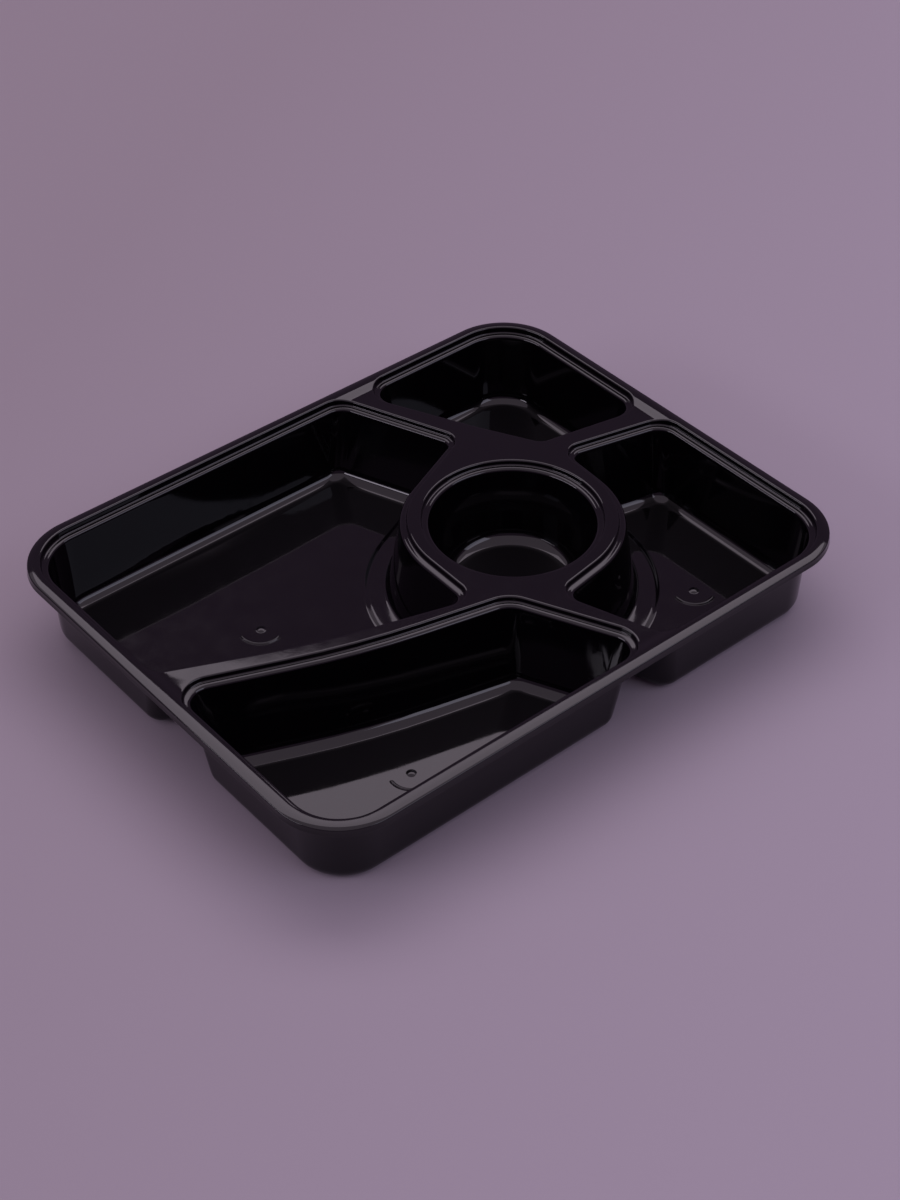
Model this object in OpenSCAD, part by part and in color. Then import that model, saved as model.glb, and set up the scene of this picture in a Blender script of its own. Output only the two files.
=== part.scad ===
// Five-compartment serving tray, formed in one thin sheet.
// Every node is one region of that sheet, and neighbouring regions meet face to face.
// Origin: centre of the footprint, on the table. X runs along the length, Z up.

/* [Tray] */
// Length over the trim lip
tray_l = 270; // [260:1:300]
// Width over the trim lip
tray_w = 212.6; // [206:0.2:236]
// Height from the table to the top of the rim
tray_h = 38; // [30:0.5:50]
// Corner radius of the trim lip, seen from above
corner_r = 28.8; // [22:0.2:34]
// Thickness of the formed sheet
sheet_t = 0.7; // [0.4:0.05:1]

/* [Rim] */
// Width of the flat trim lip
lip_w = 1.2; // [0.6:0.1:1.6]
// Height of the rim from the underside of the lip to the crown
rim_h = 3.3; // [3.3:0.1:6]
// Bend radius between skirt and crown
crown_r = 2; // [1.2:0.1:2.3]
// How far the foot of the skirt stands out from its top
skirt_lean = 0.2; // [0:0.05:0.5]
// Distance from the edge of the tray to the wall of a well
wall_inset = 8; // [7.8:0.1:11]

/* [Seats] */
// Depth of the lid seat below the rim
seat_drop = 3; // [2.8:0.1:5]
// Width of the lid seat between its riser and the wall of the well
seat_w = 2.8; // [2.5:0.1:3]
// How far the riser above the seat leans back
riser_lean = 0.1; // [0:0.05:0.3]
// Bend radius at the top of the riser
edge_r = 0.8; // [0.8:0.05:1]
// Bend radius at the foot of the riser
seat_r = 0.8; // [0.3:0.05:1.1]
// Bend radius from the seat into the wall of the well
brow_r = 1.2; // [1.1:0.05:1.5]

/* [Dividers] */
// How far the divider tops lie below the rim
deck_drop = 0.8; // [0:0.05:1]
// Length of the slope from the rim down to a divider top
ramp_run = 6; // [3:0.1:8]
// Plan radius of the well corners where a divider meets the rim
end_r = 8.1; // [7:0.1:9]
// Left divider: where its middle meets the rim, along Y
left_end_y = 0.3; // [-6:0.1:6]
// Left divider: width of its top where it leaves the rim
left_end_w = 8.7; // [6:0.1:12]
// Front divider: where its middle meets the rim, along X
front_end_x = 27; // [22:0.1:32]
// Front divider: width of its top where it leaves the rim
front_end_w = 5; // [3:0.1:8]
// Right divider: where its middle meets the rim, along Y
right_end_y = 8.4; // [3:0.1:12]
// Right divider: width of its top where it leaves the rim
right_end_w = 8.7; // [6:0.1:12]
// Back divider: where its middle meets the rim, along X
back_end_x = 40.9; // [36:0.1:46]
// Back divider: width of its top where it leaves the rim
back_end_w = 7.8; // [5:0.1:12]
// Sag of the large well's long wall beside the left divider
large_bow = 3.1; // [0.5:0.1:4]
// Sag of the front well's long wall beside the left divider
front_bow = 3.7; // [0.5:0.1:5]
// Share of those two walls that is curved
bow_share = 0.7; // [0.3:0.05:0.9]

/* [Round cup] */
// Centre of the cup along X
cup_x = 35.9; // [32:0.1:40]
// Centre of the cup along Y
cup_y = -8.3; // [-12:0.1:-5]
// Radius of the cup's wall at its seat
cup_r = 34.2; // [28:0.1:35]
// Radius of the walls of the neighbouring wells round the cup
ring_r = 45.9; // [44:0.1:47]
// How far the cup narrows from its seat to its floor
cup_lean = 6; // [2:0.1:10]
// Bend radius between the cup's wall and floor
cup_foot_r = 5.6; // [3:0.1:9]
// Height of the cup's underside above the table
cup_lift = 1.2; // [0:0.1:6]

/* [Corners round the cup] */
// Large well, below the cup: direction from the cup's centre
large_low_dir = 200.2; // [197:0.1:203]
// Large well, below the cup: gap between ring wall and corner
large_low_gap = 3.8; // [3:0.1:8]
// Large well, above the cup: direction from the cup's centre
large_high_dir = 81.3; // [78:0.1:84]
// Large well, above the cup: gap between ring wall and corner
large_high_gap = 8.8; // [6:0.1:12]
// Right well, above the cup: direction from the cup's centre
right_high_dir = 13.1; // [10:0.1:16]
// Right well, above the cup: gap between ring wall and corner
right_high_gap = 2.3; // [2:0.1:6]
// Right well, below the cup: direction from the cup's centre
right_low_dir = 260.9; // [258:0.1:264]
// Right well, below the cup: gap between ring wall and corner
right_low_gap = 2.4; // [2:0.1:6]
// Front well, apex towards the cup: direction from the cup's centre
front_apex_dir = 227.8; // [224:0.1:232]
// Front well, apex towards the cup: gap between ring wall and corner
front_apex_gap = 6.6; // [5:0.1:12]
// Back well, corner by the back divider: direction from the cup's centre
back_left_dir = 59.1; // [56:0.1:62]
// Back well, corner by the back divider: gap between ring wall and corner
back_left_gap = 18.3; // [15:0.1:24]
// Back well, corner by the right divider: direction from the cup's centre
back_right_dir = 37.6; // [34:0.1:40]
// Back well, corner by the right divider: gap between ring wall and corner
back_right_gap = 9.2; // [7:0.1:14]
// Plan radius of the corners beside the ring wall
knee_r = 4.5; // [4:0.1:6]
// Plan radius of the front well's apex
apex_r = 11; // [6:0.1:12]

/* [Walls and floors] */
// How far the short end walls narrow to the floor
end_lean = 1.8; // [0:0.1:4]
// How far the long side walls narrow to the floor
side_lean = 2; // [0:0.1:4]
// How far the walls round the cup narrow to the floor
ring_lean = 5.5; // [3:0.1:6.5]
// Large well: how far its divider walls narrow to the floor
large_web_lean = 6.3; // [2:0.1:8]
// Front well: how far the wall beside the left divider narrows
front_web_lean = 8.5; // [4:0.1:10]
// Front well: how far the wall beside the front divider narrows
front_short_lean = 6; // [2:0.1:8]
// Right well: how far the wall beside the right divider narrows
right_web_lean = 5; // [2:0.1:7]
// Right well: how far the wall beside the front divider narrows
right_short_lean = 4.5; // [2:0.1:6]
// Back well: how far its three inner walls narrow to the floor
back_web_lean = 6; // [2:0.1:8]
// Bend radius between walls and floors
foot_r = 5; // [2:0.1:6]
// Bend radius at the foot of the ring wall
ring_foot_r = 9.5; // [6:0.1:10]
// Plan radius that the wells' inner corners have at the floor
floor_corner_r = 7.5; // [6:0.1:9]

/* [Moulded marks] */
// Diameter of the raised dot on the three larger floors
dot_d = 3.2; // [2:0.1:5]
// Height of the dot and of the arc beside it
mark_h = 0.5; // [0.2:0.1:1]
// Radius of the arc round the dot
mark_r = 6.5; // [4:0.1:9]
// Width of the arc
mark_w = 1.3; // [0.6:0.1:2]
// Angle that the arc covers
mark_angle = 130; // [40:5:300]
// Direction that the arc faces from its dot
mark_dir = 230; // [0:5:360]
// Mark on the large well's floor, from the middle of the tray
large_mark = [-57, 33]; // [-60:1:35]
// Mark on the front well's floor, from the middle of the tray
front_mark = [-56, -59]; // [-65:1:-52]
// Mark on the right well's floor, from the middle of the tray
right_mark = [84, -58]; // [-60:1:86]

/* [Hidden] */
$fn = 96;
sheet = "#26222a";
// Segments of a plan corner, of a slight plan bend, and of a bend in section
corner_n = 9;
slight_n = 2;
bend_n = 3;
foot_n = 4;
// A plan bend below this angle counts as slight
slight_angle = 15;
// Least distance that such a bend stands out from the straight side between its neighbours
slight_stand = 0.2;
// Smallest radius on the inside of a bend, and of a corner at the floor
tight_r = 0.1;
tight_corner_r = 1.5;

half_l = tray_l / 2;
half_w = tray_w / 2;
edge_bend = max(edge_r, sheet_t + tight_r);
brow_bend = max(brow_r, sheet_t + tight_r);
crown_bend = max(crown_r, sheet_t + tight_r);
seat_back = seat_w + riser_lean;
cut = seat_back + edge_bend;
cut_inset = wall_inset - cut;
ramp_end = cut_inset + ramp_run;
// Reach of a divider end: from its middle to the centre of a corner beside it
end_reach = end_r + cut;
wall_x = half_l - wall_inset;
wall_y = half_w - wall_inset;
wall_corner_r = corner_r - wall_inset;
seat_z = tray_h - seat_drop;
deck_z = tray_h - deck_drop;
cup_centre = [cup_x, cup_y];

// Plan circles are [x, y, radius]. An outline is a belt round them, anticlockwise,
// and a circle with a negative radius bends the belt inwards.
function corner(sx, sy) =
    [sx * (wall_x - wall_corner_r), sy * (wall_y - wall_corner_r), wall_corner_r];
function left_end(side) = [-wall_x + end_r, left_end_y + side * (left_end_w / 2 + end_reach), end_r];
function right_end(side) = [wall_x - end_r, right_end_y + side * (right_end_w / 2 + end_reach), end_r];
function front_end(side) = [front_end_x + side * (front_end_w / 2 + end_reach), -wall_y + end_r, end_r];
function back_end(side) = [back_end_x + side * (back_end_w / 2 + end_reach), wall_y - end_r, end_r];
function by_cup(dir, gap, r) =
    [cup_x + (ring_r + gap + r) * cos(dir), cup_y + (ring_r + gap + r) * sin(dir), r];
ring = [cup_x, cup_y, -ring_r];

// Straight side from circle a to circle b: heading, inward normal, distance along the normal
function side(a, b) =
    let (d = [b.x - a.x, b.y - a.y],
         heading = atan2(d.y, d.x) - asin((b.z - a.z) / norm(d)),
         n = [-sin(heading), cos(heading)])
    [heading, n, a.x * n.x + a.y * n.y - a.z];

// Circle that bows the side from a to b outwards by sag, or inwards where inward is true
function bow(a, b, sag, inward = false) =
    let (s = side(a, b),
         half = norm([b.x - a.x, b.y - a.y]) / 2,
         r = bow_share * half * half / (2 * sag),
         mid = [(a.x + b.x) / 2, (a.y + b.y) / 2],
         on = mid + (s[2] - mid * s[1]) * s[1],
         touch = on + (inward ? sag : -sag) * s[1],
         centre = touch + (inward ? -r : r) * s[1])
    [centre.x, centre.y, inward ? -r : r];

// Circle c, moved out as far as it takes to stand clear of the straight side from a to b
function stand_out(c, a, b) =
    let (s = side(a, b), short = slight_stand + [c.x, c.y] * s[1] - c.z - s[2])
    short > 0 ? [c.x - short * s[1].x, c.y - short * s[1].y, c.z] : c;

large_low = by_cup(large_low_dir, large_low_gap, knee_r);
large_high = by_cup(large_high_dir, large_high_gap, knee_r);
right_high = by_cup(right_high_dir, right_high_gap, knee_r);
right_low = by_cup(right_low_dir, right_low_gap, knee_r);
front_apex = by_cup(front_apex_dir, front_apex_gap, apex_r);
back_right = by_cup(back_right_dir, back_right_gap, knee_r);
back_left = stand_out(by_cup(back_left_dir, back_left_gap, knee_r), back_end(1), back_right);

// A well is its circles, and for the side that leaves each circle its lean and its foot radius
function foot_list(leans, at_ring) =
    [for (i = [0:len(leans) - 1]) [leans[i], search(i, at_ring) == [] ? foot_r : ring_foot_r]];

large_well = [
    [corner(-1, 1), left_end(1), bow(left_end(1), large_low, large_bow), large_low, ring,
     large_high, back_end(-1)],
    foot_list([end_lean, large_web_lean, large_web_lean, ring_lean, ring_lean,
               large_web_lean, side_lean], [3, 4])];
front_well = [
    [corner(-1, -1), front_end(-1), front_apex, bow(front_apex, left_end(-1), front_bow, true),
     left_end(-1)],
    foot_list([side_lean, front_short_lean, front_web_lean, front_web_lean, end_lean], [])];
right_well = [
    [corner(1, -1), right_end(-1), right_high, ring, right_low, front_end(1)],
    foot_list([end_lean, right_web_lean, ring_lean, ring_lean, right_short_lean, side_lean],
              [2, 3])];
back_well = [
    [corner(1, 1), back_end(1), back_left, back_right, right_end(1)],
    foot_list([side_lean, back_web_lean, back_web_lean, back_web_lean, end_lean], [])];

function turned(from, to, r) =
    let (a = (to - from + 900) % 360 - 180)
    r > 0 && a < 0 ? a + 360 : r < 0 && a > 0 ? a - 360 : a;
function segments(angle) = abs(angle) < slight_angle ? slight_n : corner_n;
function next(list, i) = list[(i + 1) % len(list)];
function previous(list, i) = list[(i + len(list) - 1) % len(list)];

// Point where lines with normals m and n lie at distances a and b from the origin
function crossing(m, a, n, b) =
    [a * n.y - b * m.y, b * m.x - a * n.x] / (m.x * n.y - m.y * n.x);

// One belt, one list of points for each circle. sections holds for each side
// [inward shift, height, share of the depth, shift that comes from the bends]
function belt(circles, sections) =
    [for (i = [0:len(circles) - 1])
        let (c = circles[i],
             a = side(previous(circles, i), c),
             b = side(c, next(circles, i)),
             p = previous(sections, i),
             q = sections[i],
             mid = (p + q) / 2,
             floor_r = max(c.z - mid[0] + mid[3], min(floor_corner_r, c.z + mid[2] * floor_corner_r)),
             r = c.z < 0 ? c.z - mid[0]
                 : max(c.z + (floor_r - c.z) * mid[2] - mid[3], tight_corner_r),
             centre = crossing(a[1], a[2] + p[0] + r, b[1], b[2] + q[0] + r),
             angle = turned(a[0], b[0], c.z),
             n = segments(angle))
        [for (j = [0:n])
            let (t = a[0] + angle * j / n)
            [centre.x + r * sin(t), centre.y - r * cos(t), p[1] + (q[1] - p[1]) * j / n]]];

// Section of a wall from the seat's edge to the floor, and of a seat from the deck to that edge.
// under is 0 for the upper face of the sheet and sheet_t for its underside
function wall_section(lean, foot, under, floor_z) =
    [for (k = [0:bend_n + foot_n + 1])
        let (brow = k <= bend_n,
             a = brow ? 90 * k / bend_n : 90 * (k - bend_n - 1) / foot_n,
             f = brow ? brow_bend * (sin(a) - 1) : foot * (1 - cos(a)),
             z = brow ? seat_z - brow_bend * (1 - cos(a)) : floor_z + foot * (1 - sin(a)),
             share = (seat_z - z) / (seat_z - floor_z),
             off = under * (brow ? [sin(a), cos(a)] : [cos(a), sin(a)]))
        [share * lean + f - off[0], z - off[1], share, f - off[0]]];

function seat_section(under) =
    concat(
        [for (k = [0:bend_n])
            let (a = 90 * k / bend_n, f = edge_bend * sin(a) - cut - under * sin(a))
            [f, tray_h - edge_bend * (1 - cos(a)) - under * cos(a), 0, f]],
        [for (k = [0:bend_n])
            let (a = 90 * k / bend_n, f = seat_r * (1 - cos(a)) - seat_w - under * cos(a))
            [f, seat_z + seat_r * (1 - sin(a)) - under * sin(a), 0, f]],
        [[-brow_bend, seat_z - under, 0, -brow_bend]]);

function flat_list(lists) = [for (list = lists) each list];
function plan(points) = [for (p = points) [p.x, p.y]];
function reversed(list) = [for (i = [len(list) - 1:-1:0]) list[i]];

// Distance of a plan point from the edge of the tray, and how far the divider tops drop there
function from_edge(p) =
    let (x = half_l - abs(p.x), y = half_w - abs(p.y))
    x < corner_r && y < corner_r ? corner_r - norm([corner_r - x, corner_r - y]) : min(x, y);
function drop(p) =
    let (s = min(max((from_edge(p) - cut_inset) / ramp_run, 0), 1))
    deck_drop * s * s * (3 - 2 * s);

// Closed skin through rows of points, the last row joined to the first
module skin(rows) {
    n = len(rows[0]);
    m = len(rows);
    faces = [for (i = [0:m - 1], j = [0:n - 1])
        let (a = i * n + j, b = i * n + (j + 1) % n,
             c = (i + 1) % m * n + (j + 1) % n, d = (i + 1) % m * n + j)
        each [[a, c, b], [a, d, c]]];
    polyhedron(flat_list(rows), faces, convexity = 10);
}

function same_section(well, section) = [for (i = [0:len(well[0]) - 1]) section];

// Seat of a well. Its upper bend follows the divider tops down from the rim
function deck_edge(well) = belt(well[0], same_section(well, seat_section(0)[0]));
function seat_rows(well, under) =
    let (section = seat_section(under), top = flat_list(deck_edge(well)))
    [for (k = [0:len(section) - 1])
        let (points = flat_list(belt(well[0], same_section(well, section[k]))))
        k > bend_n ? points
                   : [for (j = [0:len(points) - 1]) points[j] - [0, 0, drop(top[j])]]];
module seat(well) skin(concat(seat_rows(well, 0), reversed(seat_rows(well, sheet_t))));

// Wall of a well, and the floor plate that closes it
function wall_rows(well, under) =
    let (sections = [for (s = well[1]) wall_section(s[0], s[1], under, sheet_t)])
    [for (k = [0:len(sections[0]) - 1])
        flat_list(belt(well[0], [for (s = sections) s[k]]))];
module wall(well) skin(concat(wall_rows(well, 0), reversed(wall_rows(well, sheet_t))));
module floor_plate(well) {
    rows = wall_rows(well, 0);
    linear_extrude(sheet_t) polygon(plan(rows[len(rows) - 1]));
}

// Raised dot with an arc beside it
module mark(at) {
    translate([at.x, at.y, 0]) {
        cylinder(d = dot_d, h = sheet_t + mark_h);
        rotate(mark_dir - mark_angle / 2)
            rotate_extrude(angle = mark_angle)
                translate([mark_r - mark_w / 2, 0])
                    square([mark_w, sheet_t + mark_h]);
    }
}

// Rim section, measured inwards from the edge and up from the table
skirt_x = lip_w + skirt_lean;
function rim_bend(under) =
    [for (k = [0:2 * bend_n])
        let (a = 90 * k / (2 * bend_n), r = crown_bend - under)
        [skirt_x + crown_bend - r * cos(a), tray_h - crown_bend + r * sin(a)]];
rim_section = concat(
    [[0, tray_h - rim_h], [0, tray_h - rim_h + sheet_t], [lip_w, tray_h - rim_h + sheet_t]],
    rim_bend(0),
    [[cut_inset, tray_h], [cut_inset, tray_h - sheet_t]],
    reversed(rim_bend(sheet_t)),
    [[lip_w + sheet_t, tray_h - rim_h]]);

module rim_side(length) {
    translate([-length / 2, 0, 0])
        rotate([90, 0, 90])
            linear_extrude(length) polygon(rim_section);
}

module rim_flange() {
    color(sheet) {
        straight_x = tray_l - 2 * corner_r;
        straight_y = tray_w - 2 * corner_r;
        for (s = [0, 1]) {
            rotate(180 * s) translate([0, -half_w, 0]) rim_side(straight_x);
            rotate(180 * s + 90) translate([0, -half_l, 0]) rim_side(straight_y);
        }
        for (sx = [0, 1], sy = [0, 1])
            mirror([sx, 0, 0]) mirror([0, sy, 0])
                translate([half_l - corner_r, half_w - corner_r, 0])
                    rotate_extrude(angle = 90)
                        translate([corner_r, 0]) mirror([1, 0]) polygon(rim_section);
    }
}

// Stretch of a divider corner, listed from the rim inwards, that lies on the slope
function on_ramp(points) =
    [for (j = [0:len(points) - 1]) if (j == 0 || from_edge(points[j - 1]) < ramp_end) points[j]];

// Divider edge of a well, from its corner on circle 1 to its last corner, without the slopes
function web_run(edge) =
    let (last = len(edge) - 1,
         points = flat_list([for (k = [1:last]) edge[k]]),
         a = len(on_ramp(edge[1])),
         b = len(on_ramp(reversed(edge[last]))))
    [for (k = [a - 1:len(points) - b]) points[k]];

module divider_web() {
    outline = concat(
        reversed(web_run(deck_edge(large_well))),
        reversed(web_run(deck_edge(front_well))),
        reversed(web_run(deck_edge(right_well))),
        reversed(web_run(deck_edge(back_well))));
    color(sheet)
        translate([0, 0, deck_z - sheet_t])
            linear_extrude(sheet_t)
                difference() {
                    polygon(plan(outline));
                    translate(cup_centre) circle(cup_r + cut);
                }
}

// Triangles between two stretches, taken in order of distance from the edge
function ladder(p, q, i = 0, j = 0) =
    let (more_p = i < len(p) - 1, more_q = j < len(q) - 1)
    !more_p && !more_q ? []
    : more_p && (!more_q || from_edge(p[i + 1]) <= from_edge(q[j + 1]))
        ? concat([[i, i + 1, len(p) + j]], ladder(p, q, i + 1, j))
        : concat([[i, len(p) + j + 1, len(p) + j]], ladder(p, q, i, j + 1));

// Slope between the corner that leaves the rim and the corner that returns to it
module ramp(leaving, returning) {
    p = on_ramp(leaving);
    q = on_ramp(reversed(returning));
    n = len(p) + len(q);
    points = [for (under = [0, sheet_t], c = concat(p, q)) [c.x, c.y, tray_h - drop(c) - under]];
    top = ladder(p, q);
    bottom = [for (f = top) [f[0] + n, f[2] + n, f[1] + n]];
    loop = [for (k = [0:n - 1]) k < len(p) ? k : n - 1 + len(p) - k];
    sides = [for (k = [0:n - 1])
        let (u = loop[k], v = next(loop, k))
        each [[v, u, u + n], [v, u + n, v + n]]];
    polyhedron(points, concat(top, bottom, sides), convexity = 4);
}

module divider_ramps() {
    large = deck_edge(large_well);
    front = deck_edge(front_well);
    right = deck_edge(right_well);
    back = deck_edge(back_well);
    color(sheet) {
        ramp(large[1], front[4]);
        ramp(front[1], right[5]);
        ramp(right[1], back[4]);
        ramp(back[1], large[6]);
    }
}

module large_well_seat() { color(sheet) seat(large_well); }
module large_well_wall() { color(sheet) wall(large_well); }
module large_well_floor() {
    color(sheet) {
        floor_plate(large_well);
        mark(large_mark);
    }
}

module front_well_seat() { color(sheet) seat(front_well); }
module front_well_wall() { color(sheet) wall(front_well); }
module front_well_floor() {
    color(sheet) {
        floor_plate(front_well);
        mark(front_mark);
    }
}

module right_well_seat() { color(sheet) seat(right_well); }
module right_well_wall() { color(sheet) wall(right_well); }
module right_well_floor() {
    color(sheet) {
        floor_plate(right_well);
        mark(right_mark);
    }
}

module back_well_seat() { color(sheet) seat(back_well); }
module back_well_wall() { color(sheet) wall(back_well); }
module back_well_floor() { color(sheet) floor_plate(back_well); }

// Section points of the cup, turned into distance from its axis and height
function cup_points(section) = [for (s = section) [cup_r - s[0], s[1]]];
cup_floor_z = cup_lift + sheet_t;
function cup_wall_section(under) =
    cup_points(wall_section(cup_lean, cup_foot_r, under, cup_floor_z));
function cup_seat_section(under) =
    [for (k = [0:len(seat_section(under)) - 1])
        let (p = cup_points(seat_section(under))[k])
        [p.x, p.y - (k > bend_n ? 0 : deck_drop)]];

module round_cup(section, under_section) {
    translate([cup_x, cup_y, 0])
        rotate_extrude()
            polygon(concat(section, reversed(under_section)));
}

module cup_seat() {
    color(sheet) round_cup(cup_seat_section(0), cup_seat_section(sheet_t));
}

module cup_wall() {
    color(sheet) round_cup(cup_wall_section(0), cup_wall_section(sheet_t));
}

module cup_floor() {
    color(sheet)
        translate([cup_x, cup_y, cup_lift])
            cylinder(r = cup_r - cup_lean - cup_foot_r, h = sheet_t);
}

rim_flange();
divider_web();
divider_ramps();
large_well_seat();
large_well_wall();
large_well_floor();
front_well_seat();
front_well_wall();
front_well_floor();
right_well_seat();
right_well_wall();
right_well_floor();
back_well_seat();
back_well_wall();
back_well_floor();
cup_seat();
cup_wall();
cup_floor();
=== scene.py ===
import math
import bpy
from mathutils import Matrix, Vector, geometry


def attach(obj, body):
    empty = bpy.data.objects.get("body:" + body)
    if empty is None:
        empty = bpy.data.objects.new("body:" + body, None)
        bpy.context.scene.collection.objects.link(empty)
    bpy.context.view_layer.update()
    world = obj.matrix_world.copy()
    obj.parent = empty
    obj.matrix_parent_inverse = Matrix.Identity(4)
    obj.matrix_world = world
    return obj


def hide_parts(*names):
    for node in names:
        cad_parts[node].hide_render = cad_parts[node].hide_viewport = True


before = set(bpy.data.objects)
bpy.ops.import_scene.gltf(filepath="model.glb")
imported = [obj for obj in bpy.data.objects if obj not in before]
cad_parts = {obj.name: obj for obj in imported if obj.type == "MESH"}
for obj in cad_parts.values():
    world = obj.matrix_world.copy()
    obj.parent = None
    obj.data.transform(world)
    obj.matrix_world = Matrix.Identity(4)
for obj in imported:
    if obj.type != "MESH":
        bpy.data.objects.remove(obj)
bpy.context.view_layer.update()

# All sizes below are in mm, as on a drawing of the tray. makePiece turns them to metres.
tray = {
    "length": 270.0,
    "width": 212.6,
    "height": 38.0,
    "cornerRadius": 28.8,    # trim lip, seen from above
    "sheet": 0.7,            # thickness of the formed sheet
    "wallInset": 8.0,        # edge of the tray to the wall of a well
    "arcStep": 4.0,          # degrees between two points of a plan corner
}
halfLength = tray["length"] / 2
halfWidth = tray["width"] / 2


# Plan outlines: belts round circles

layout = {
    "endRadius": 8.1,            # well corners where a divider meets the rim
    "kneeRadius": 4.5,           # corners beside the ring wall
    "apexRadius": 11.0,          # corner of the front well that points at the cup
    "cup": (35.9, -8.3),
    "cupRadius": 34.2,
    "ringRadius": 45.9,          # walls of the neighbouring wells round the cup
    "leftEnd": (0.3, 8.7),       # where a divider meets the rim, width of its top there
    "frontEnd": (27.0, 5.0),
    "rightEnd": (8.4, 8.7),
    "backEnd": (40.9, 7.8),
    "largeLow": (200.2, 3.8),    # direction from the cup, gap to the ring wall
    "largeHigh": (81.3, 8.8),
    "rightHigh": (13.1, 2.3),
    "rightLow": (260.9, 2.4),
    "frontApex": (227.8, 6.6),
    "backLeft": (59.1, 18.3),
    "backRight": (37.6, 9.2),
    "largeBow": 3.1,             # sag of the two long walls beside the left divider
    "frontBow": 3.7,
    "bowShare": 0.7,
    "floorCornerRadius": 7.5,
}

seat = {
    "drop": 3.0,
    "width": 2.8,
    "riserLean": 0.1,
    "edgeRadius": 0.8,
    "footRadius": 0.8,
    "browRadius": 1.2,
}
cut = seat["width"] + seat["riserLean"] + seat["edgeRadius"]
cutInset = tray["wallInset"] - cut
seatZ = tray["height"] - seat["drop"]

wallX = halfLength - tray["wallInset"]
wallY = halfWidth - tray["wallInset"]
leftWallX = wallX - 0.7      # the rim is a little wider along the left and the front
frontWallY = wallY - 0.7
wallCorner = tray["cornerRadius"] - tray["wallInset"]


def corner(sx, sy):
    return (sx * ((wallX if sx > 0 else leftWallX) - wallCorner),
            sy * ((wallY if sy > 0 else frontWallY) - wallCorner), wallCorner)


def endCircle(name, side):
    middle, top = layout[name]
    r = layout["endRadius"]
    at = middle + side * (top / 2 + r + cut)
    return {"leftEnd": (r - leftWallX, at, r), "rightEnd": (wallX - r, at, r),
            "frontEnd": (at, r - frontWallY, r), "backEnd": (at, wallY - r, r)}[name]


def byCup(name, r):
    direction, gap = layout[name]
    reach = layout["ringRadius"] + gap + r
    a = math.radians(direction)
    return (layout["cup"][0] + reach * math.cos(a), layout["cup"][1] + reach * math.sin(a), r)


def sideOf(a, b):
    # heading, inward normal and distance of the straight side from circle a to circle b
    dx, dy = b[0] - a[0], b[1] - a[1]
    heading = math.atan2(dy, dx) - math.asin((b[2] - a[2]) / math.hypot(dx, dy))
    nx, ny = -math.sin(heading), math.cos(heading)
    return heading, nx, ny, a[0] * nx + a[1] * ny - a[2]


def bow(a, b, sag, inward=False):
    heading, nx, ny, far = sideOf(a, b)
    half = math.hypot(b[0] - a[0], b[1] - a[1]) / 2
    r = layout["bowShare"] * half * half / (2 * sag)
    mx, my = (a[0] + b[0]) / 2, (a[1] + b[1]) / 2
    reach = far - (mx * nx + my * ny) + (sag if inward else -sag) + (-r if inward else r)
    return (mx + reach * nx, my + reach * ny, -r if inward else r)


ring = (layout["cup"][0], layout["cup"][1], -layout["ringRadius"])
knee = layout["kneeRadius"]
largeLow = byCup("largeLow", knee)
frontApex = byCup("frontApex", layout["apexRadius"])

# Circles of each well, and for the side that leaves each circle its lean and foot radius
walls = {"endLean": 1.8, "sideLean": 2.0, "ringLean": 5.5, "largeWebLean": 6.3, "frontWebLean": 8.5,
         "frontShortLean": 6.0, "rightWebLean": 5.0, "rightShortLean": 4.5, "backWebLean": 6.0,
         "foot": 5.0, "ringFoot": 9.5}


def sides(*names):
    return [(walls[n], walls["ringFoot" if n == "ringLean" else "foot"]) for n in names]


wells = {
    "large_well": (
        [corner(-1, 1), endCircle("leftEnd", 1), bow(endCircle("leftEnd", 1), largeLow, layout["largeBow"]),
         largeLow, ring, byCup("largeHigh", knee), endCircle("backEnd", -1)],
        sides("endLean", "largeWebLean", "largeWebLean", "ringLean", "ringLean", "largeWebLean", "sideLean")),
    "front_well": (
        [corner(-1, -1), endCircle("frontEnd", -1), frontApex,
         bow(frontApex, endCircle("leftEnd", -1), layout["frontBow"], True), endCircle("leftEnd", -1)],
        sides("sideLean", "frontShortLean", "frontWebLean", "frontWebLean", "endLean")),
    "right_well": (
        [corner(1, -1), endCircle("rightEnd", -1), byCup("rightHigh", knee), ring,
         byCup("rightLow", knee), endCircle("frontEnd", 1)],
        sides("endLean", "rightWebLean", "ringLean", "ringLean", "rightShortLean", "sideLean")),
    "back_well": (
        [corner(1, 1), endCircle("backEnd", 1), byCup("backLeft", knee), byCup("backRight", knee),
         endCircle("rightEnd", 1)],
        sides("sideLean", "backWebLean", "backWebLean", "backWebLean", "endLean")),
}


def stepsFor(angle):
    return max(4, math.ceil(abs(math.degrees(angle)) / tray["arcStep"]))


def turned(fromAngle, toAngle, r):
    a = (toAngle - fromAngle + 5 * math.pi) % (2 * math.pi) - math.pi
    if r > 0 and a < 0:
        a += 2 * math.pi
    if r < 0 and a > 0:
        a -= 2 * math.pi
    return a


def crossing(ax, ay, a, bx, by, b):
    d = ax * by - ay * bx
    return (a * by - b * ay) / d, (b * ax - a * bx) / d


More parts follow.
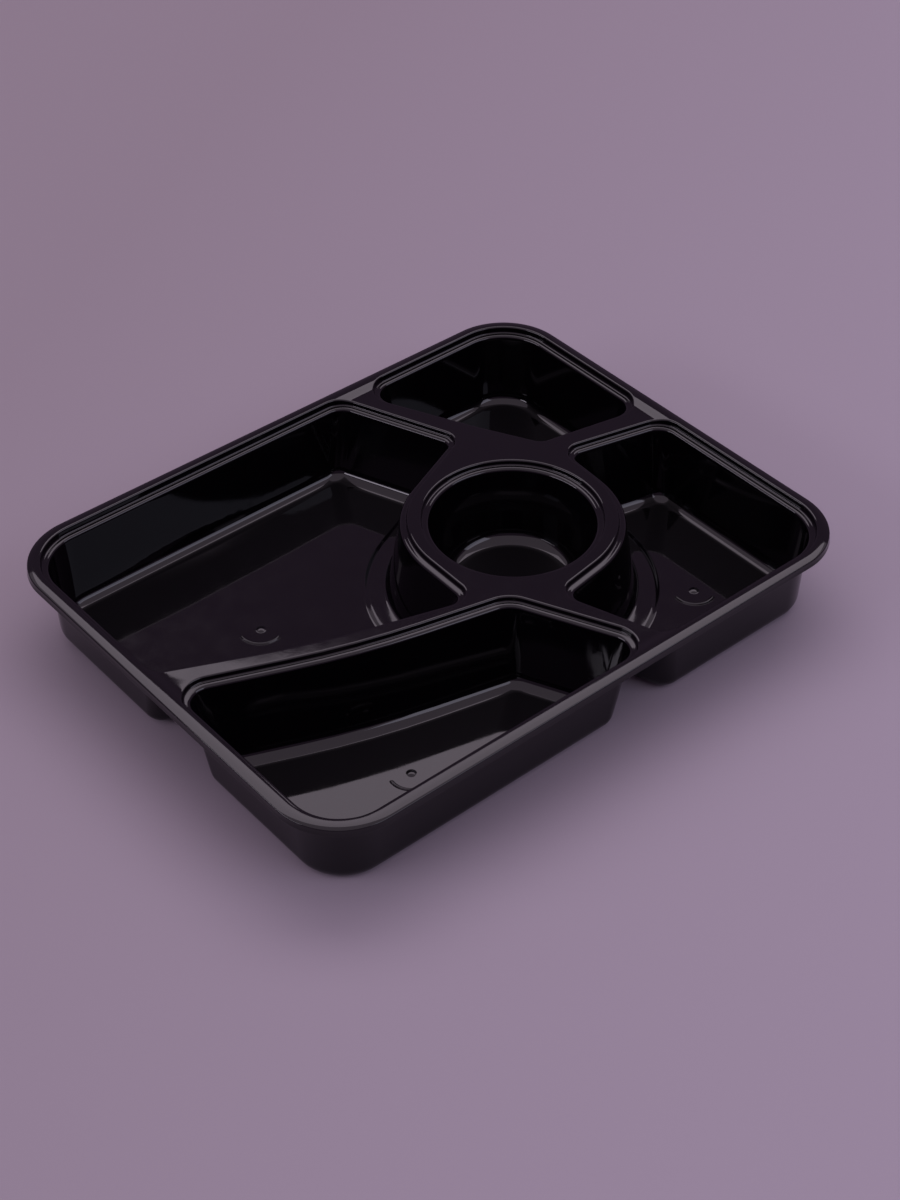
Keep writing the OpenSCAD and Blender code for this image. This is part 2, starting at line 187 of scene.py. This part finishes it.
def belt(circles, rows):
    # one closed line; rows holds (shift, height, share of the depth, shift from bends) per side
    points = []
    n = len(circles)
    for i, c in enumerate(circles):
        a = sideOf(circles[i - 1], c)
        b = sideOf(c, circles[(i + 1) % n])
        p, q = rows[i - 1], rows[i]
        share, bend, shift = (p[2] + q[2]) / 2, (p[3] + q[3]) / 2, (p[0] + q[0]) / 2
        if c[2] < 0:
            r = c[2] - shift
        else:
            low = layout["floorCornerRadius"]
            floorR = max(c[2] - shift + bend, min(low, c[2] + share * low))
            r = max(c[2] + (floorR - c[2]) * share - bend, 1.5)
        cx, cy = crossing(a[1], a[2], a[3] + p[0] + r, b[1], b[2], b[3] + q[0] + r)
        angle = turned(a[0], b[0], c[2])
        steps = stepsFor(angle)
        for j in range(steps + 1):
            k = j / steps
            ease = k * k * (3 - 2 * k)
            t = a[0] + angle * k
            points.append((cx + r * math.sin(t), cy - r * math.cos(t), p[1] + (q[1] - p[1]) * ease))
    return points


# The sheet's section, for its upper face (under = 0) and its underside

# foot of the ring wall in the large and the right well
terrace = {"foot": 2.0, "height": 0.9, "rise": 0.02, "stepAt": 7.9, "stepWidth": 2.3}

bends = {"edge": 6, "seatFoot": 5, "brow": 8, "wallFoot": 11, "crown": 9}   # segments of each bend
strip = 0.2    # flat strip beside a bend, which keeps the shading of the flat next to it even


def bendSteps(name):
    return [math.pi / 2 * k / bends[name] for k in range(bends[name] + 1)]


def seatSection(under):
    rows = [(-cut - strip, tray["height"] - under)]
    for a in bendSteps("edge"):
        rows.append((seat["edgeRadius"] * math.sin(a) - cut - under * math.sin(a),
                     tray["height"] - seat["edgeRadius"] * (1 - math.cos(a)) - under * math.cos(a)))
    for a in bendSteps("seatFoot"):
        rows.append((seat["footRadius"] * (1 - math.cos(a)) - seat["width"] - under * math.cos(a),
                     seatZ + seat["footRadius"] * (1 - math.sin(a)) - under * math.sin(a)))
    return [(f, z, 0.0, f) for f, z in rows]


deckRows = bends["edge"] + 2    # rows that follow the divider tops down


def terraceRows(lean, under, floorZ):
    # foot of the ring wall: small bend, almost level terrace, then a low step down to the floor
    t = terrace
    raw = [(t["foot"] * (1 - math.cos(a)), t["height"] + t["rise"] + t["foot"] * (1 - math.sin(a)), math.cos(a), math.sin(a))
           for a in (math.pi / 2 * k / 5 for k in range(6))]
    width = t["stepAt"] - t["foot"]
    raw += [(t["foot"] + width * s, t["height"] + t["rise"] * (1 - s), 0.0, 1.0) for s in (0.5, 0.96)]
    for s in (0.15, 0.5, 0.85, 1.0):
        ease = s * s * (3 - 2 * s)
        slope = math.atan(t["height"] * 6 * s * (1 - s) / t["stepWidth"])
        raw.append((t["stepAt"] + t["stepWidth"] * s, t["height"] * (1 - ease), math.sin(slope), math.cos(slope)))
    raw.append((t["stepAt"] + t["stepWidth"] + strip, 0.0, 0.0, 1.0))
    return [(f, floorZ + z, sideways, down) for f, z, sideways, down in raw]


def wallSection(lean, foot, under, floorZ):
    brow = seat["browRadius"]
    stepped = foot == walls["ringFoot"]
    top, bottom = seatZ - brow, floorZ + (terrace["foot"] + terrace["height"] + terrace["rise"] if stepped else foot)
    raw = [(brow * (math.sin(a) - 1), seatZ - brow * (1 - math.cos(a)), math.sin(a), math.cos(a))
           for a in bendSteps("brow")]
    raw += [(0.0, top + (bottom - top) * t, 1.0, 0.0) for t in (0.03, 0.2, 0.4, 0.6, 0.8, 0.97)]
    if stepped:
        raw += terraceRows(lean, under, floorZ)
    else:
        raw += [(foot * (1 - math.cos(a)), floorZ + foot * (1 - math.sin(a)), math.cos(a), math.sin(a))
                for a in bendSteps("wallFoot")]
        raw.append((foot + strip, floorZ, 0.0, 1.0))
    rows = []
    for f, z, sideways, down in raw:
        share = (seatZ - z) / (seatZ - floorZ)
        rows.append((share * lean + f - under * sideways, z - under * down, share, f - under * sideways))
    return rows


def fromEdge(x, y):
    dx, dy = halfLength - abs(x), halfWidth - abs(y)
    r = tray["cornerRadius"]
    return r - math.hypot(r - dx, r - dy) if dx < r and dy < r else min(dx, dy)


dividers = {"drop": 0.8, "run": 6.0}


def drop(x, y):
    s = min(max((fromEdge(x, y) - cutInset) / dividers["run"], 0.0), 1.0)
    return dividers["drop"] * s * s * (3 - 2 * s)


# One conforming skin, of which every piece is a part

upper, lower = [], []          # the same points on the upper face and on the underside
regionFaces = {}               # node name -> faces, as indices into both lists


def addRow(top, bottom):
    start = len(upper)
    upper.extend(top)
    lower.extend(bottom)
    return list(range(start, start + len(top)))


def addBand(region, a, b):
    # quads between two closed anticlockwise rows with as many points, a outside b
    n = len(a)
    faces = regionFaces.setdefault(region, [])
    for i in range(n):
        j = (i + 1) % n
        faces.append((a[i], a[j], b[j], b[i]))


def inside(x, y, loop):
    hit = False
    for i in range(len(loop)):
        ax, ay = loop[i - 1][0], loop[i - 1][1]
        bx, by = loop[i][0], loop[i][1]
        if (ay > y) != (by > y) and x < (bx - ax) * (y - ay) / (by - ay) + ax:
            hit = not hit
    return hit


def fillFlat(regionOf, outer, holes, extra=()):
    # triangles between a closed row and the rows in it; extra holds ready points between them
    loops = [outer] + list(holes)
    index = [i for loop in loops for i in loop] + list(extra)
    flat = [Vector(upper[i][:2]) for i in index]
    edges, start = [], 0
    for loop in loops:
        edges += [(start + k, start + (k + 1) % len(loop)) for k in range(len(loop))]
        start += len(loop)
    made = geometry.delaunay_2d_cdt(flat, edges, [], 0, 1e-5)
    back = [index[origin[0]] if origin else None for origin in made[3]]
    outline = [upper[i] for i in outer]
    cutOuts = [[upper[i] for i in loop] for loop in holes]
    for face in made[2]:
        ids = [back[k] for k in face]
        if None in ids or len(set(ids)) < 3:
            continue
        x = sum(upper[i][0] for i in ids) / 3
        y = sum(upper[i][1] for i in ids) / 3
        if not inside(x, y, outline) or any(inside(x, y, c) for c in cutOuts):
            continue
        (x0, y0), (x1, y1), (x2, y2) = (upper[i][:2] for i in ids)
        if (x1 - x0) * (y2 - y0) - (y1 - y0) * (x2 - x0) < 0:
            ids.reverse()
        regionFaces.setdefault(regionOf(x, y), []).append(tuple(ids))


def wellRows(well):
    circles, leans = wells[well]
    floorZ = tray["sheet"]
    faces = []
    for under in (0.0, tray["sheet"]):
        seats = seatSection(under)
        perSide = [seats + wallSection(lean, foot, under, floorZ) for lean, foot in leans]
        rows = [belt(circles, [s[k] for s in perSide]) for k in range(len(perSide[0]))]
        edge = belt(circles, [(-cut, 0, 0, -cut)] * len(circles))
        for k in range(deckRows):
            rows[k] = [(x, y, z - drop(*(rows[k][i][:2] if k == 0 else edge[i][:2])))
                       for i, (x, y, z) in enumerate(rows[k])]
        faces.append(rows)
    return [addRow(top, bottom) for top, bottom in zip(*faces)]


seatRowCount = len(seatSection(0.0)) + 1    # the seat ends where the brow bend begins

marks = {"dot": 4.0, "height": 0.6, "arcRadius": 8.6, "arcWidth": 1.6, "arcAngle": 118, "direction": 230,
         "large_well": (-60, 36.4), "front_well": (-65, -66), "right_well": (91, -59.8)}


def capsuleLoop(at, shrink, z):
    # outline of the arc beside a dot, with round ends
    r, half = marks["arcRadius"], marks["arcWidth"] / 2 - shrink
    a0 = math.radians(marks["direction"] - marks["arcAngle"] / 2)
    a1 = math.radians(marks["direction"] + marks["arcAngle"] / 2)
    points = []
    for k in range(25):
        t = a0 + (a1 - a0) * k / 24
        points.append((r + half, t, 0.0))
    for k in range(1, 8):
        points.append((r, a1, math.pi * k / 8))
    for k in range(25):
        t = a1 + (a0 - a1) * k / 24
        points.append((r - half, t, 0.0))
    for k in range(1, 8):
        points.append((r, a0, math.pi + math.pi * k / 8))
    made = []
    for rr, t, turn in points:
        x, y = at[0] + rr * math.cos(t), at[1] + rr * math.sin(t)
        if turn:
            x += half * math.cos(t + turn)
            y += half * math.sin(t + turn)
        made.append((x, y, z))
    return made


def dotLoop(at, shrink, z):
    r = marks["dot"] / 2 - shrink
    return [(at[0] + r * math.cos(2 * math.pi * k / 32), at[1] + r * math.sin(2 * math.pi * k / 32), z)
            for k in range(32)]


def addMark(region, loopAt, halfSize, at):
    # a low raised shape with a round top; returns its lowest row
    floorZ, h = tray["sheet"], marks["height"]
    rows = []
    for share in (-0.1, 0.0, 0.1, 0.22, 0.36, 0.52, 0.68, 0.82, 0.94):
        loop = loopAt(at, share * halfSize, floorZ + h * (1 - (1 - max(share, 0)) ** 2))
        rows.append(addRow(loop, [(x, y, 0.0) for x, y, z in loop]))
    for a, b in zip(rows, rows[1:]):
        addBand(region, a, b)
    fillFlat(lambda x, y: region, rows[-1], [])
    return rows[0]


def gridIn(loop):
    # floor points for the dish of the large floor, clear of its outline and of the marks
    points = []
    for i in range(-21, 9):
        for j in range(-9, 17):
            x, y = 6.0 * i, 6.0 * j
            near = min(math.hypot(x - p[0], y - p[1]) for p in loop)
            fromMark = math.hypot(x - marks["large_well"][0], y - marks["large_well"][1])
            if near > 2.0 and inside(x, y, loop) and fromMark > marks["arcRadius"] + 2:
                points.append((x, y, tray["sheet"]))
    return addRow(points, [(x, y, 0.0) for x, y, z in points])


deckHoles = []
for well in wells:
    rows = wellRows(well)
    for k in range(len(rows) - 1):
        addBand(well + ("_seat" if k < seatRowCount - 1 else "_wall"), rows[k], rows[k + 1])
    region = well + "_floor"
    holes = []
    if well in marks:
        holes = [addMark(region, dotLoop, marks["dot"] / 2, marks[well]),
                 addMark(region, capsuleLoop, marks["arcWidth"] / 2, marks[well])]
    extra = gridIn([upper[i] for i in rows[-1]]) if well == "large_well" else []
    fillFlat(lambda x, y: region, rows[-1], holes, extra)
    deckHoles.append(rows[0])
print("four wells laid out:", len(upper), "points on the upper face")

cup = {"lean": 6.0, "foot": 5.6, "lift": 1.2, "steps": 128}


def cupRows():
    floorZ = cup["lift"] + tray["sheet"]
    faces = []
    for under in (0.0, tray["sheet"]):
        section = seatSection(under) + wallSection(cup["lean"], cup["foot"], under, floorZ)
        rows = []
        for k, (shift, z, share, bend) in enumerate(section):
            r = layout["cupRadius"] - shift
            low = dividers["drop"] if k < deckRows else 0.0
            rows.append([(layout["cup"][0] + r * math.cos(t), layout["cup"][1] + r * math.sin(t), z - low)
                         for t in (2 * math.pi * i / cup["steps"] for i in range(cup["steps"]))])
        faces.append(rows)
    return [addRow(top, bottom) for top, bottom in zip(*faces)]


rows = cupRows()
for k in range(len(rows) - 1):
    addBand("cup_seat" if k < seatRowCount - 1 else "cup_wall", rows[k], rows[k + 1])
fillFlat(lambda x, y: "cup_floor", rows[-1], [])
deckHoles.append(rows[0])

rim = {
    "flare": 0.15,          # skirt's foot stands out this far
    "height": 3.3,
    "shoulder": 0.6,        # radius of the bend from skirt to crown
    "crownInset": 3.6,      # where the crown gets level
    "crownDrop": 0.45,      # how far its outer edge lies lower
}


def frameLoop(inset, z):
    # rounded rectangle, anticlockwise, at this distance inside the trim edge
    r = tray["cornerRadius"] - inset
    x, y = halfLength - tray["cornerRadius"], halfWidth - tray["cornerRadius"]
    points = []
    for cx, cy, start in ((x, -y, -90), (x, y, 0), (-x, y, 90), (-x, -y, 180)):
        for j in range(25):
            t = math.radians(start + 90 * j / 24)
            points.append((cx + r * math.cos(t), cy + r * math.sin(t), z))
    return points


def rimSection(under):
    # from the level crown out over the shoulder and down the skirt to the trimmed edge
    top, low = tray["height"], tray["height"] - rim["height"]
    wide, fall, r = rim["crownInset"], rim["crownDrop"], rim["shoulder"]
    start = rim["flare"] + r
    rows = [(wide + strip, top - under)]
    for k in range(9):                       # crown: a parabola, level at its inner edge
        s = k / 8
        slope = math.atan(2 * fall * s / (wide - start))
        rows.append((wide - (wide - start) * s + under * math.sin(slope), top - fall * s * s - under * math.cos(slope)))
    tilt = math.atan(2 * fall / (wide - start))
    cx, cz = start + r * math.sin(tilt), top - fall - r * math.cos(tilt)
    for k in range(1, 9):                    # shoulder
        a = tilt + (math.pi / 2 - 0.03 - tilt) * k / 8
        rows.append((cx - (r - under) * math.sin(a), cz + (r - under) * math.cos(a)))
    outer = cx - r * math.sin(math.pi / 2 - 0.03)
    height = cz - low
    for share in (0.25, 0.5, 0.75, 0.9):
        rows.append((outer * (1 - share * share) + under, cz - height * share))
    rows.append((0.02 + under, low + 0.06))
    rows.append((0.10 + under * 0.8, low + (0.0 if not under else 0.02)))
    return rows


rimRows = []
for (insetTop, zTop), (insetLow, zLow) in zip(rimSection(0.0), rimSection(tray["sheet"])):
    rimRows.append(addRow(frameLoop(insetTop, zTop), frameLoop(insetLow, zLow)))
for a, b in zip(rimRows, rimRows[1:]):
    addBand("rim_flange", b, a)

# Points on the divider ends, close enough for a smooth slope
slopePoints = []
holeLoops = [[upper[i] for i in loop] for loop in deckHoles]
spacing = 1.1
rampEnd = cutInset + dividers["run"]
for name, alongX in (("leftEnd", False), ("rightEnd", False), ("frontEnd", True), ("backEnd", True)):
    middle, top = layout[name]
    sign = -1 if name in ("leftEnd", "frontEnd") else 1
    for i in range(9):
        inset = cutInset + dividers["run"] * i / 8
        for j in range(-16, 17):
            along = middle + j * spacing
            x, y = (along, sign * (halfWidth - inset)) if alongX else (sign * (halfLength - inset), along)
            near = min(math.hypot(x - p[0], y - p[1]) for loop in holeLoops for p in loop)
            if near > 0.5 and not any(inside(x, y, loop) for loop in holeLoops):
                slopePoints.append((x, y, tray["height"] - drop(x, y)))
extra = addRow(slopePoints, [(x, y, z - tray["sheet"]) for x, y, z in slopePoints])


def deckRegion(x, y):
    d = fromEdge(x, y)
    return "rim_flange" if d < cutInset else "divider_ramps" if d < rampEnd else "divider_web"


fillFlat(deckRegion, rimRows[0], deckHoles, extra)
print("one skin with", sum(len(f) for f in regionFaces.values()), "faces in", len(regionFaces), "regions")


# The large floor is slightly dished: its edges stand a little higher than its middle

dish = {"middle": (-50.0, 32.0), "reach": (75.0, 60.0), "rise": 0.85, "fadesBy": 12.0}
for i in {i for part in ("floor", "wall") for f in regionFaces["large_well_" + part] for i in f}:
    x, y, z = upper[i]
    away = ((x - dish["middle"][0]) / dish["reach"][0]) ** 2 + ((y - dish["middle"][1]) / dish["reach"][1]) ** 2
    lift = dish["rise"] * min(away, 1.6) * max(1 - z / dish["fadesBy"], 0.0)
    upper[i] = (x, y, z + lift)
    lower[i] = (lower[i][0], lower[i][1], lower[i][2] + lift)


# Smooth normals of the whole skin, so that no seam shows between pieces

def skinNormals(points, faces, flip):
    mesh = bpy.data.meshes.new("skin_normals")
    mesh.from_pydata(points, [], [f[::-1] for f in faces] if flip else faces)
    made = [v.normal.copy() for v in mesh.vertices]
    bpy.data.meshes.remove(mesh)
    return made


allFaces = [f for faces in regionFaces.values() for f in faces]
upperNormals = skinNormals(upper, allFaces, False)
lowerNormals = skinNormals(lower, allFaces, True)


def makePiece(region, material):
    faces = regionFaces[region]
    used = sorted({i for f in faces for i in f})
    place = {i: k for k, i in enumerate(used)}
    n = len(used)
    points = [Vector(upper[i]) / 1000 for i in used] + [Vector(lower[i]) / 1000 for i in used]
    polygons = [tuple(place[i] for i in f) for f in faces]
    normals = [upperNormals[i] for f in faces for i in f]
    count = {}
    for f in polygons:
        for k in range(len(f)):
            count[(f[k - 1], f[k])] = True
    under = [tuple(n + i for i in reversed(f)) for f in polygons]
    normals += [lowerNormals[i] for f in faces for i in reversed(f)]
    edges = [(a, b) for a, b in count if (b, a) not in count]    # border of the region: close it
    closing = [(b, a, n + a, n + b) for a, b in edges]
    mesh = bpy.data.meshes.new(region + "_sheet")
    mesh.from_pydata(points, [], polygons + under + closing)
    mesh.polygons.foreach_set("use_smooth", [True] * len(mesh.polygons))
    for f in mesh.polygons[len(polygons) * 2:]:
        normals += [f.normal.copy()] * len(f.vertices)
    mesh.normals_split_custom_set(normals)
    mesh.materials.append(material)
    piece = bpy.data.objects.new(region + "_sheet", mesh)
    bpy.context.scene.collection.objects.link(piece)
    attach(piece, "root")
    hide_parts(region)
    return piece


# Material

def linear(hexColour):
    # sRGB hex to the linear colour that nodes work in
    values = [int(hexColour[i:i + 2], 16) / 255 for i in (1, 3, 5)]
    return tuple(v / 12.92 if v <= 0.04045 else ((v + 0.055) / 1.055) ** 2.4 for v in values) + (1.0,)


def addNode(material, kind, settings=None, links=None):
    # settings by socket or property name, links as (socket, from node, output)
    node = material.node_tree.nodes.new(kind)
    for name, value in (settings or {}).items():
        if name in node.inputs:
            node.inputs[name].default_value = value
        else:
            setattr(node, name, value)
    for socket, source, output in links or ():
        material.node_tree.links.new(source.outputs[output], node.inputs[socket])
    return node


polypropylene = {
    "colour": "#030204",         # black right through, with a hint of violet
    "colourThin": "#060507",
    "ior": 1.49,
    "roughness": 0.05,
    "roughnessSpread": 0.03,
    "sagSize": 38.0,             # mm, slow waves left by uneven heating
    "sagHeight": 0.06,           # mm
    "peelSize": 2.4,             # mm, fine orange peel of the mould side
    "peelHeight": 0.0022,        # mm
}


def blackPolypropyleneSheet():
    # Polypropylene sheet, extruded and vacuum formed. Gloss with sharp but slightly wavy reflections:
    # slow waves from the heating, a fine peel from the mould, and a little uneven gloss.
    material = bpy.data.materials.new("black_polypropylene_vacuum_formed")
    material.use_nodes = True
    material.node_tree.nodes.clear()
    place = addNode(material, "ShaderNodeTexCoord")
    tone = addNode(material, "ShaderNodeTexNoise", {"Scale": 1000 / 22.0, "Detail": 3.0},
                   [("Vector", place, "Object")])
    colour = addNode(material, "ShaderNodeMix", {"data_type": "RGBA"}, [("Factor", tone, "Fac")])
    colour.inputs[6].default_value = linear(polypropylene["colour"])
    colour.inputs[7].default_value = linear(polypropylene["colourThin"])
    gloss = addNode(material, "ShaderNodeTexNoise", {"Scale": 1000 / 9.0, "Detail": 4.0},
                    [("Vector", place, "Object")])
    rough = addNode(material, "ShaderNodeMapRange",
                    {"From Min": 0.3, "From Max": 0.7,
                     "To Min": polypropylene["roughness"] - polypropylene["roughnessSpread"] / 2,
                     "To Max": polypropylene["roughness"] + polypropylene["roughnessSpread"] / 2},
                    [("Value", gloss, "Fac")])
    sag = addNode(material, "ShaderNodeTexNoise", {"Scale": 1000 / polypropylene["sagSize"], "Detail": 2.0},
                  [("Vector", place, "Object")])
    sagBump = addNode(material, "ShaderNodeBump", {"Strength": 1.0, "Distance": polypropylene["sagHeight"] / 1000},
                      [("Height", sag, "Fac")])
    peel = addNode(material, "ShaderNodeTexNoise", {"Scale": 1000 / polypropylene["peelSize"], "Detail": 2.0},
                   [("Vector", place, "Object")])
    peelBump = addNode(material, "ShaderNodeBump", {"Strength": 1.0, "Distance": polypropylene["peelHeight"] / 1000},
                       [("Height", peel, "Fac"), ("Normal", sagBump, "Normal")])
    shader = addNode(material, "ShaderNodeBsdfPrincipled", {"IOR": polypropylene["ior"]},
                     [("Base Color", colour, 2), ("Roughness", rough, "Result"), ("Normal", peelBump, "Normal")])
    addNode(material, "ShaderNodeOutputMaterial", None, [("Surface", shader, "BSDF")])
    return material


sheetMaterial = blackPolypropyleneSheet()
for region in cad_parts:
    makePiece(region, sheetMaterial)
print("pieces made:", len(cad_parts))


# Stage, light and camera

studio = {
    "paperColour": "#958c93",
    "paperPaintedLight": "#aaa2ae",     # painted light: the card is coloured lighter towards the front right, where more light falls on it
    "worldColour": "#746078",
    "paperSize": 14.0,           # m
    "above": 3.0,                # m, both softboxes above the table
    "azimuth": 41.2,             # degrees from +Y towards +X, where their far edges are square on
    "lightColour": "#fff0ff",
    # name, far edge and near edge (m from the middle of the tray), half width, radiance
    "boxes": [("softbox", 3.16, 1.0, 2.1, 1.85), ("ceiling_bounce", 3.16, -3.4, 3.6, 0.55)],
    # name, azimuth and elevation (degrees) of the middle, width, height, radiance, colour
    "windows": [("window_front", 155.0, 37.0, 2.0, 1.2, 1.7, "#e6e6ff"),
                ("window_left", -70.0, 26.0, 2.0, 0.5, 5.5, "#f6ecff")],
    "windowReach": 3.0,          # m from the tray
}


def floorPaper():
    # Matt mauve card under the tray, with painted light: its colour is blended lighter towards the front right
    material = bpy.data.materials.new("matt_card_floor")
    material.use_nodes = True
    material.node_tree.nodes.clear()
    place = addNode(material, "ShaderNodeTexCoord")
    along = addNode(material, "ShaderNodeVectorMath", {"operation": "DOT_PRODUCT"}, [(0, place, "Object")])
    along.inputs[1].default_value = (0.5, -0.85, 0.0)
    # painted light: a ramp across the card, from its own colour to a lighter one towards the front right
    paintedLightRamp = addNode(material, "ShaderNodeMapRange", {"From Min": -0.25, "From Max": 0.4}, [("Value", along, "Value")])
    tone = addNode(material, "ShaderNodeMix", {"data_type": "RGBA"}, [("Factor", paintedLightRamp, "Result")])
    tone.inputs[6].default_value = linear(studio["paperColour"])
    tone.inputs[7].default_value = linear(studio["paperPaintedLight"])
    grain = addNode(material, "ShaderNodeTexNoise", {"Scale": 400.0, "Detail": 3.0}, [("Vector", place, "Object")])
    bump = addNode(material, "ShaderNodeBump", {"Strength": 0.2, "Distance": 0.0001}, [("Height", grain, "Fac")])
    shader = addNode(material, "ShaderNodeBsdfPrincipled",
                     {"Roughness": 0.9, "Specular IOR Level": 0.1},
                     [("Base Color", tone, 2), ("Normal", bump, "Normal")])
    addNode(material, "ShaderNodeOutputMaterial", None, [("Surface", shader, "BSDF")])
    return material


half = studio["paperSize"] / 2
floorMesh = bpy.data.meshes.new("floor")
floorMesh.from_pydata([(-half, -half, 0), (half, -half, 0), (half, half, 0), (-half, half, 0)], [], [(0, 1, 2, 3)])
floorMesh.materials.append(floorPaper())
floor = bpy.data.objects.new("floor", floorMesh)
bpy.context.scene.collection.objects.link(floor)

world = bpy.data.worlds.new("studio")
world.use_nodes = True
background = world.node_tree.nodes["Background"]
background.inputs["Color"].default_value = linear(studio["worldColour"])
bpy.context.scene.world = world

azimuth = math.radians(studio["azimuth"])
for name, far, near, halfWide, radiance in studio["boxes"]:
    light = bpy.data.lights.new(name, "AREA")
    light.shape = "RECTANGLE"
    light.size = 2 * halfWide
    light.size_y = far - near
    light.energy = radiance * math.pi * light.size * light.size_y
    light.color = linear(studio["lightColour"])[:3]
    softbox = bpy.data.objects.new(name, light)
    bpy.context.scene.collection.objects.link(softbox)
    middle = (far + near) / 2
    softbox.location = (middle * math.sin(azimuth), middle * math.cos(azimuth), studio["above"])
    softbox.rotation_euler = (0, 0, -azimuth)

for name, turn, rise, width, height, radiance, colour in studio["windows"]:
    light = bpy.data.lights.new(name, "AREA")
    light.shape = "RECTANGLE"
    light.size, light.size_y = width, height
    light.energy = radiance * math.pi * width * height
    light.color = linear(colour)[:3]
    window = bpy.data.objects.new(name, light)
    bpy.context.scene.collection.objects.link(window)
    turn, rise = math.radians(turn), math.radians(rise)
    out = Vector((math.sin(turn) * math.cos(rise), math.cos(turn) * math.cos(rise), math.sin(rise)))
    window.location = out * studio["windowReach"]
    window.rotation_euler = out.to_track_quat("Z", "Y").to_euler()

view = {"azimuth": -39.9, "elevation": 41.05, "roll": -0.25, "distance": 0.849, "lens": 66.0,
        "target": (-0.0172, -0.0320, 0.038)}
az, el = math.radians(view["azimuth"]), math.radians(view["elevation"])
back = Vector((math.sin(az) * math.cos(el), -math.cos(az) * math.cos(el), math.sin(el)))
cameraData = bpy.data.cameras.new("camera")
cameraData.lens = view["lens"]
cameraData.sensor_width = 36.0
cameraData.clip_start = 0.01
camera = bpy.data.objects.new("camera", cameraData)
bpy.context.scene.collection.objects.link(camera)
camera.location = Vector(view["target"]) + back * view["distance"]
camera.rotation_euler = (-back).to_track_quat("-Z", "Y").to_euler()
camera.rotation_euler.rotate_axis("Z", math.radians(view["roll"]))
bpy.context.scene.camera = camera
bpy.context.scene.view_settings.view_transform = "Standard"
print("stage, light and camera set")
